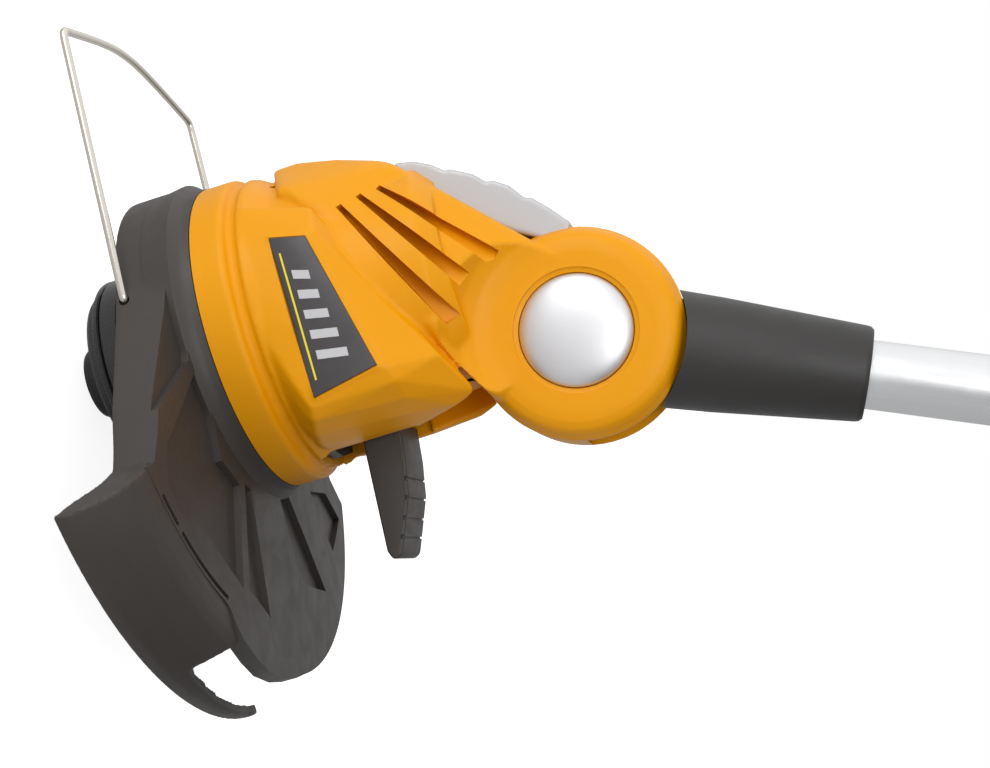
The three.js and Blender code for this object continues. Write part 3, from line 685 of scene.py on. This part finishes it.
def shade_skirt(outline):
    """The curved skirt with its window and hook, and the low walls under the plate's edge."""
    start = Matrix.Rotation(math.radians(SKIRT_START), 4, "Z")
    shade = solid(moved(turned(skirt_section(), 96, -SKIRT_START), start), "shade")
    sill = [(110.6, -44, 37.2), (124, -83, 37.2), (160, -106, 37.2), (150, 8, 32), (105, 8, 32)]
    cut(shade, hull(sill + [(x, y, 90) for x, y, _ in sill]))
    web = [
        (139.8, 29), (138.6, 27.4), (133, 29), (127, 33), (121.5, 36.6), (115, 38.2), (108, 38.8),
        (107, 52), (117, 52),
    ] + SKIRT_OUTER[1:7]
    add(shade, moved(turned(web, 2, 1.8), start))
    walls = solid(plate(outline, 38.8, 50.6), "walls")
    inset = [(x * 0.955 + 1.2, y * 0.955) for x, y in outline]
    cut(walls, plate(inset, 0, 90), block(53.4, 200, -200, 200, 0, 90), block(49, 60, 60, 120, 0, 90))
    add(shade, walls)
    return moulded(shade, SHELL_VOXEL, 4)


def guard():
    outline = guard_outline()
    body = solid(top_form(0), "guard")
    keep(body, plate(outline, 46.8, 90))
    add(body, shade_skirt(outline))
    hollows = [cut(solid(plate(p, 42, 90), "hollow"), top_form(2.7)) for p in POCKETS]
    cut(body, *hollows, mirror_twin(hollows[0]))
    collar = turned([
        (52, 50), (64, 50), (65.4, 60.4), (64.4, 61.6), (63, 63), (62.2, 65), (61.8, RIM_LOW - 0.3),
        (56, RIM_LOW - 0.4), (56, 56), (52, 56),
    ], 128)
    add(body, moved(collar, OVAL))
    spots = [Matrix.Translation((x, y, 0)) for x, y in arc(46, 60, 300, 2)]
    add(body, *[moved(disc(6.5, 52, RIM_LOW - 0.3), spot) for spot in spots])
    slots = [
        plate(arc(117.4, a, b, 12) + arc(115.8, b, a, 12), 40, 60) for a, b in ((-57, -51), (-49.5, -32))
    ]
    screw_holes = [moved(disc(2.1, 40, 70), spot) for spot in spots]
    wire_holes = [pin(2, low, high, WIRE_HINGE_X, WIRE_Z) for low, high in ((-80, -56), (56, 80))]
    cut(body, disc(9, 0, 100), disc(54, 53.6, 100), *screw_holes, *wire_holes, *slots)
    piece(bevelled(body, 0.45, 2, 28), "guard_moulding", "head", ["guard"], "black_plastic", sharp=32)


# ------------------------------------------------------------------ wire guard
def wire_bar(points, r, name, resolution=16, facets=5):
    """A round bar along a smooth line through the points."""
    curve = bpy.data.curves.new(name, "CURVE")
    curve.dimensions, curve.bevel_depth, curve.bevel_resolution = "3D", r, facets
    curve.use_fill_caps = True
    spline = curve.splines.new("NURBS")
    spline.points.add(len(points) - 1)
    for p, co in zip(spline.points, points):
        p.co = (*co, 1)
    spline.use_endpoint_u, spline.order_u, spline.resolution_u = True, 3, resolution
    holder = bpy.data.objects.new(name, curve)
    bpy.context.scene.collection.objects.link(holder)
    bpy.context.view_layer.update()
    mesh = bpy.data.meshes.new_from_object(holder.evaluated_get(bpy.context.evaluated_depsgraph_get()))
    bpy.data.objects.remove(holder)
    bm = bmesh.new()
    bm.from_mesh(mesh)
    bmesh.ops.remove_doubles(bm, verts=bm.verts, dist=1e-4)
    bmesh.ops.recalc_face_normals(bm, faces=bm.faces)
    return bm


def wire():
    """The plant guard: one bent wire, hinged in the guard at both ends."""
    z = WIRE_Z
    side = [
        (WIRE_HINGE_X, 57.5, z), (WIRE_HINGE_X, 61.5, z), (-11.6, 63.6, z), (-14.5, 64, z), (-60, 63.2, z),
        (-108, 62.2, z), (-113.6, 62, z), (-115.4, 60.4, z), (-116.4, 56, z), (-122, 30, z), (-125, 12, z),
    ]
    path = side + [(-125.6, 0, z)] + [(x, -y, z) for x, y, z in reversed(side)]
    bar = wire_bar(path, WIRE_R, "wire", 12)
    piece(solid(bar), "wire_loop", "wire_guard", ["wire_guard"], "nickel_wire")


# ------------------------------------------------------------------ cutting head
def cutting_head():
    base = solid(turned([
        (4.3, 26), (5.6, 26), (5.6, 36.5), (34.5, 36.5), (34.5, 19.2), (36.2, 19.2), (36.8, 19.8), (36.8, 26),
        (36.2, 26.6), (36.2, 30.4), (36.8, 31), (36.8, 36), (36, 37.6), (34.6, 38.5), (4.3, 38.5),
    ], 128), "spool_base")
    line_outlet = moved(disc(3, 30, 60, 32), Matrix.Translation((0, 0, 28)) @ LAID_FORWARD)
    cut(base, line_outlet)
    piece(base, "spool_base_turned", "spool_head", ["spool_base"], "spool_plastic")
    cover = solid(turned([
        (15.6, 12.3), (16.4, 11.5), (30.6, 11.5), (32, 12), (33, 13.2), (33, 15), (33.4, 15.5), (35.4, 15.9),
        (36.4, 16.6), (36.8, 17.6), (36.8, 18.3), (36.3, 18.7), (15.6, 18.7),
    ], 128), "spool_cover")
    piece(cover, "spool_cover_turned", "spool_head", ["spool_cover"], "spool_plastic")
    knob = solid(turned([
        (0, 0.5), (5.5, 0.5), (6, 0), (11.6, 0), (13.4, 0.7), (14.5, 2.4), (14.8, 4), (14.8, 19),
        (14.3, 19.7), (0, 19.7),
    ], 96), "bump_knob")
    piece(knob, "bump_knob_turned", "bump_knob", ["bump_knob"], "spool_plastic")


# ------------------------------------------------------------------ tilt pedal
def pedal():
    lever = [
        (35, 104), (52, 101), (66, 100.5), (66, 114.4), (54, 115.4), (41, 117), (40.5, 147), (39, 154.4),
        (35.5, 154.4), (35, 150), (10, 149.8), (6.5, 148.5), (6.5, 144.5), (10, 142.9), (34, 142.5),
    ]
    body = solid(rounded(slab(lever, -9, 9), 0.5, 2), "pedal")
    paddle = slab([
        (50, 101.6), (57, 101), (95, 99.8), (98.2, 101.2), (98.5, 103), (97.2, 105.2), (89, 108.4),
        (77, 113), (64, 115.2), (50, 116.4),
    ], -15, 15)
    add(body, rounded(paddle, 1.0, 3, 35))
    grooves = []
    for x, z, slope in [(71, 114.0, -10), (78, 112.4, -20), (85, 109.9, -22), (91.5, 107.2, -25)]:
        turn = Matrix.Translation((x, 0, z)) @ Matrix.Rotation(math.radians(-slope), 4, "Y")
        grooves.append(moved(block(-0.35, 0.35, -20, 20, -0.5, 3), turn))
        grooves.append(moved(block(-0.8, 0.8, -20, -14, -1.1, 3), turn))
        grooves.append(moved(block(-0.8, 0.8, 14, 20, -1.1, 3), turn))
    cut(body, pin(2.8, -20, 20, 10, 146.5), *grooves)
    piece(body, "pedal_moulding", "pedal", ["pedal"], "black_plastic")


# ------------------------------------------------------------------ shaft
def along(body, name, rides_on, nodes, finish, sharp=35.0):
    return piece(body, name, rides_on, nodes, finish, sharp, ALONG_TUBE)


def flutes(count, r, depth, width, low, high):
    """Cutters for a ring of finger grooves."""
    cutters = []
    for k in range(count):
        groove = moved(disc(width, low, high, 20), Matrix.Translation((r + width - depth, 0, 0)))
        cutters.append(moved(groove, Matrix.Rotation(2 * math.pi * k / count, 4, "Z")))
    return cutters


def shaft_pieces():
    boot = solid(turned([
        (12.8, 28), (22.2, 28), (21.2, 50), (17.5, 101.8), (17.2, 103.2), (16.3, 104.3), (13.4, 104.5),
        (12.8, 103.8),
    ], 160), "boot")
    cut(boot, pin(DRUM_R + 1.4, -40, 40, 0, 0, 160))
    along(boot, "boot_sleeve", "lower_shaft", ["sleeve"], "boot_plastic")
    wheel = turned([
        (PIVOT_BORE, -11), (32, -11), (33, -10), (33, 10), (32, 11), (PIVOT_BORE, 11),
    ], 128)
    knuckle = solid(across(wheel, 0, 0), "knuckle")
    neck = rounded(block(-18, 18, -11, 11, 20, 62), 3.2, 4)
    add(knuckle, neck, disc(10.8, 60, 112))
    cut(knuckle, pin(PIVOT_BORE, -20, 20, 0, 0))
    for step in range(4):  # the pedal's notches
        turn = Matrix.Rotation(math.radians(180 - TILT - step * TILT_TRAVEL / 3), 4, "Y")
        cut(knuckle, moved(block(-2.6, 2.6, -12, 12, 29, 36), turn))
    along(knuckle, "knuckle_moulding", "lower_shaft", ["knuckle"], "boot_plastic")
    tube = turned([(11.1, 66), (12.2, 66), (12.5, 66.3), (12.5, 399.7), (12.2, 400), (11.1, 400)], 96)
    along(solid(tube), "lower_tube_drawn", "lower_shaft", ["lower_tube"], "alloy_tube")
    upper = turned([(13.1, 215), (14.3, 215), (14.6, 215.3), (14.6, 611.7), (14.3, 612), (13.1, 612)], 96)
    along(solid(upper), "upper_tube_drawn", "handle", ["upper_tube"], "alloy_tube")

    collar = solid(turned([
        (12.8, 178), (17.6, 178), (18.6, 178.8), (20.3, 182.6), (20.5, 184), (20.5, 236), (19.8, 238.4),
        (20.2, 240), (20.2, 243.2), (19.4, 244), (17.3, 244), (17.3, 214.5), (12.8, 214.5),
    ], 128), "collar")
    cut(collar, *flutes(16, 20.5, 1.1, 2.2, 188, 232))
    along(bevelled(collar, 0.35, 2, 35), "collar_grip", "collar", ["twist_collar"], "black_plastic")
    base = turned([
        (14.9, 222), (17, 222), (17, 245), (19.2, 245), (19.6, 245.6), (19.2, 250), (17.4, 255.2),
        (16.4, 256), (14.9, 256),
    ], 96)
    along(solid(base), "collar_socket", "handle", ["collar_base"], "black_plastic")


# ------------------------------------------------------------------ front handle
GRIP_AT = (-34.0, 430.0)  # the front handle's axis, along the tube


def smooth_path(points, steps=10):
    """Points on a smooth line that passes through every given point."""
    knots = [Vector(p) for p in [points[0], *points, points[-1]]]
    path = []
    for a, b, c, d in zip(knots, knots[1:], knots[2:], knots[3:]):
        for k in range(steps):
            t = k / steps
            square, cube = (2 * a - 5 * b + 4 * c - d) * t**2, (3 * b - a - 3 * c + d) * t**3
            path.append(0.5 * (2 * b + (c - a) * t + square + cube))
    return path + [knots[-1]]


def front_handle():
    x, s = GRIP_AT
    ring_body = solid(turned([
        (14.9, 413), (20.9, 413), (21.5, 413.8), (21.5, 419), (20.8, 420), (20.8, 440), (21.5, 441),
        (21.5, 446.2), (20.9, 447), (14.9, 447),
    ], 96), "bracket")
    lug_line = arc(10.8, 90, 270, 16, (x, s)) + [(-14, s - 12), (-14, s + 12)]
    lug_hull = hull([(px, y, pz) for y in (-7.7, 7.7) for px, pz in lug_line])
    lug = solid(rounded(lug_hull, 0.8, 2, 40), "lug")
    cut(lug, disc(16, 0, 999))
    add(ring_body, lug)
    cut(ring_body, pin(PIVOT_BORE, -20, 20, x, s), block(-26, -13, -0.8, 0.8, 400, 460))
    along(bevelled(ring_body, 0.4, 2, 35), "handle_bracket", "handle", ["bracket"], "black_plastic")

    half = [
        (x - 4, 12, s), (x - 26, 14, s + 2), (-90, 44, s + 8), (-128, 58, s + 15), (-152, 40, s + 21),
    ]
    path = smooth_path(half + [(-160, 0, s + 23)] + [(px, -y, pz) for px, y, pz in reversed(half)])
    loop = solid(wire_bar(path, 7.9, "loop", 4, 7), "front_handle")
    eyes = [rounded(pin(11, y - 6.2, y + 6.2, x, s, 64), 1.2, 3, 40) for y in (14.2, -14.2)]
    add(loop, *eyes)
    moulded(loop, voxel(1.1), 5)
    cut(loop, block(x - 14, x + 12, -8, 8, s - 14, s + 14), pin(PIVOT_BORE, -30, 30, x, s))
    along(loop, "front_handle_loop", "front_handle", ["front_handle"], "black_plastic")
    middle = [p for p in path if abs(p.y) < 46 and p.x < -120]
    sleeve = solid(wire_bar(middle, 9.3, "sleeve", 4, 8), "grip")
    bands = []
    for p in middle[2:-2]:
        bands.append(moved(ring(8.9, 12, -0.7, 0.7, 40), Matrix.Translation(p) @ LAID_ACROSS))
    cut(sleeve, *bands)
    along(sleeve, "front_handle_grip", "front_handle", (), "grip_rubber")

    shank = solid(pin(3, -22, 36, x, s), "bolt")
    head = rounded(disc(5.4, 21, 24, 6), 0.4, 2, 40)
    add(shank, across(head, x, s))
    along(shank, "clamp_bolt_turned", "front_handle", ["clamp_bolt"], "steel")
    hub = turned([(0, 0), (11.6, 0), (12.4, 0.8), (12.4, 10.6), (9.6, 13.2), (6.4, 14), (0, 14)], 64)
    knob = solid(hub, "knob")
    for turn in (0, 60, 120):
        lobes = rounded(block(-17, 17, -4, 4, 0.2, 12.6), 1.8, 3, 40)
        add(knob, moved(lobes, Matrix.Rotation(math.radians(turn), 4, "Z")))
    moulded(knob, voxel(0.6), 5)
    cut(knob, disc(3.3, -1, 20))
    knob.data.transform(Matrix.Translation((x, 36.4, s)) @ LAID_ACROSS)
    along(knob, "clamp_knob_moulding", "clamp_knob", ["clamp_knob"], "black_plastic")


# ------------------------------------------------------------------ rear handle
GRIP = [
    (-20, 586), (20, 586), (23, 606), (22, 648), (16, 669), (15, 760), (22, 780), (22, 792), (-28, 792),
    (-28, 780), (-20, 760), (-18, 695), (-25, 660), (-24, 605),
]
LOOP = [
    (14, 625), (24, 635), (47, 665), (54, 685), (54, 764), (56, 790), (14, 790), (14, 770), (30, 764),
    (43, 756), (43, 690), (37, 678), (16, 672),
]


TRIGGER_AT, TRIGGER_BORE = (12, 688), 2.3  # the trigger's pin, along the tube


def rear_handle():
    body = solid(rounded(slab(GRIP, -18, 18), 6, 4, 20), "handle")
    foot = rounded(block(-43, 59, -36, 36, 780, 800), 3, 3)
    add(body, rounded(slab(LOOP, -9, 9), 3, 3, 20), foot)
    moulded(body, HANDLE_VOXEL, 7)
    holes = []
    for x, s, y in [(48.5, 716, 9), (50, 788, 9), (-16, 640, 12)]:
        holes += [pin(1.9, -y - 1, 7, x, s, 24), pin(3.6, -60, 2.6 - y, x, s, 32)]
    tube_socket, switch_bay = disc(14.9, 570, 612.3, 96), block(-13, 11, -12, 12, 612, 784)
    terminal_bay = block(-24, 40, -22, 22, 783, 801)
    trigger_slot, lock_slot = block(8, 24, -6.4, 6.4, 674, 728), block(-40, -10, -6.4, 6.4, 645.6, 664.4)
    trigger_pin = pin(TRIGGER_BORE, -11, 11, *TRIGGER_AT)
    cut(body, tube_socket, switch_bay, terminal_bay, trigger_slot, lock_slot, trigger_pin, *holes)
    other = twin(body)
    keep(body, block(-200, 200, -200, -0.15, 0, 1200))
    keep(other, block(-200, 200, 0.15, 200, 0, 1200))
    along(body, "handle_shell_left", "handle", ["handle_left"], "black_plastic")
    along(other, "handle_shell_right", "handle", ["handle_right"], "black_plastic")

    pad = solid(rounded(slab([(x * 1.04 - 0.3, s) for x, s in GRIP], -18.6, 18.6), 6, 4, 20), "pad")
    moulded(pad, HANDLE_VOXEL, 6)
    core = solid(slab([(-12, 560), (40, 560), (40, 820), (-12, 820)], -40, 40), "core")
    keep(pad, rounded(slab([(-40, 678), (-6, 690), (-6, 742), (-40, 754)], -40, 40), 1, 2))
    cut(pad, core, *[block(-40, -17, -40, 40, s - 0.6, s + 0.6) for s in range(688, 750, 7)])
    along(pad, "handle_grip_pad", "handle", (), "grip_rubber")


def switches():
    lever = solid(rounded(slab([
        (7, 678), (14, 676), (24, 682), (27.2, 692), (26.4, 706), (27.4, 722), (20, 725), (7, 724),
    ], -6, 6), 1.6, 3, 25), "trigger")
    cut(lever, pin(TRIGGER_BORE, -20, 20, *TRIGGER_AT))
    along(lever, "trigger_lever", "trigger", ["trigger"], "orange_plastic")
    button = solid(rounded(block(-30.5, -18, -6, 6, 646, 664), 1.6, 3), "lock")
    add(button, block(-18.3, -15, -4, 4, 648, 662))
    cut(button, *[block(-32, -29.9, -7, 7, s - 0.5, s + 0.5) for s in (650, 653, 656, 659)])
    along(button, "lock_slider", "lock_button", ["lock_button"], "orange_plastic")


# ------------------------------------------------------------------ battery
def battery():
    case = solid(rounded(block(-43, 59, -36, 36, 800.5, 852.5), 4, 4), "battery")
    grooves = [
        moved(disc(1.3, -60, 70, 20), Matrix.Translation((0, y, s)) @ LAID_FORWARD)
        for y in (-36.7, 36.7) for s in (818, 826, 834)
    ]
    cell_bay, plug_way = block(-40, 51, -33, 33, 806.5, 849.5), block(-24, 40, -20, 20, 799, 807.5)
    latch_seat = block(54, 60, -12.4, 12.4, 810.1, 828.9)
    cut(case, cell_bay, plug_way, latch_seat, *grooves)
    along(bevelled(case, 0.35, 2, 35), "battery_shell", "battery", ["battery_case"], "black_plastic")
    latch = solid(rounded(block(57.5, 61.5, -12, 12, 810.5, 828.5), 1.2, 3), "latch")
    cut(latch, *[block(60.9, 63, -9, 9, s - 0.6, s + 0.6) for s in (815, 818, 821, 824)])
    along(latch, "battery_latch_key", "battery_latch", ["battery_latch"], "orange_plastic")


housing()
spine()
badges()
pivot_caps()
guard()
wire()
cutting_head()
pedal()
shaft_pieces()
front_handle()
rear_handle()
switches()
battery()

# The CAD nodes that stay take the finish of their slot.
OTHER_NAME = {"badge_inlay": "badge_film"}
slots_of = {row["node"]: row["material_slot"] for row in frame["record"]["subparts"]}
for name, node in frame["nodes"].items():
    slot = slots_of[name]
    node.data.materials.clear()
    node.data.materials.append(FINISH[OTHER_NAME.get(slot, slot)])


# ------------------------------------------------------------------ studio
def studio_world():
    """A soft light tent, brighter on one side, that is plain white where nothing stands before it."""
    world = bpy.data.worlds.new("studio_world")
    world.use_nodes = True
    tree = world.node_tree
    out, tent = tree.nodes["World Output"], tree.nodes["Background"]
    way = add_node(tree, "ShaderNodeTexCoord").outputs["Generated"]
    dot = add_node(tree, "ShaderNodeVectorMath", {0: way, 1: CAMERA_UP}, operation="DOT_PRODUCT")
    level = add_node(tree, "ShaderNodeMapRange", {
        "Value": dot.outputs["Value"], "From Min": -0.9, "From Max": 0.9, "To Min": 0.1, "To Max": 1.1,
    })
    tree.links.new(level.outputs[0], tent.inputs["Strength"])
    tent.inputs["Color"].default_value = (1, 1, 1, 1)
    plain = add_node(tree, "ShaderNodeBackground", {"Color": (1, 1, 1, 1), "Strength": 1.0})
    seen = add_node(tree, "ShaderNodeLightPath").outputs["Is Camera Ray"]
    pick = add_node(tree, "ShaderNodeMixShader", {0: seen, 1: tent.outputs[0], 2: plain.outputs[0]})
    tree.links.new(pick.outputs[0], out.inputs["Surface"])
    bpy.context.scene.world = world


def studio():
    floor = solid(plate([(-12, -12), (12, -12), (12, 12), (-12, 12)], -0.012, -0.002), "studio_floor")
    white = plastic(
        "floor_white", (0.55, 0.55, 0.55), (0.75, 0.85), 40.0, 0.01, **{"Emission Color": (1, 1, 1, 1)}
    )
    tree = white.node_tree
    seen = add_node(tree, "ShaderNodeLightPath").outputs["Is Camera Ray"]
    glow = calculated(tree, "MULTIPLY_ADD", seen, 0.75, 0.1)
    tree.links.new(glow, tree.nodes["Principled BSDF"].inputs["Emission Strength"])
    floor.data.materials.append(white)
    studio_world()
    centre = Vector((0.03, 0, 0.15))  # what the lights point at
    for name, right, up, back, power, size in [
        ("key_light", -0.5, 1.0, 0.9, 9.0, 0.9),
        ("fill_light", 0.5, 0.1, 1.3, 5.0, 0.7),
        ("side_light", -1.0, 0.1, 0.6, 3.0, 0.4),
    ]:
        data = bpy.data.lights.new(name, "AREA")
        data.energy, data.size = power, size
        light = bpy.data.objects.new(name, data)
        light.location = centre + CAMERA_RIGHT * right + CAMERA_UP * up - CAMERA_AHEAD * back
        light.rotation_mode = "QUATERNION"
        light.rotation_quaternion = (centre - light.location).to_track_quat("-Z", "Y")
        bpy.context.scene.collection.objects.link(light)
    bpy.context.scene.view_settings.view_transform = "Standard"


studio()
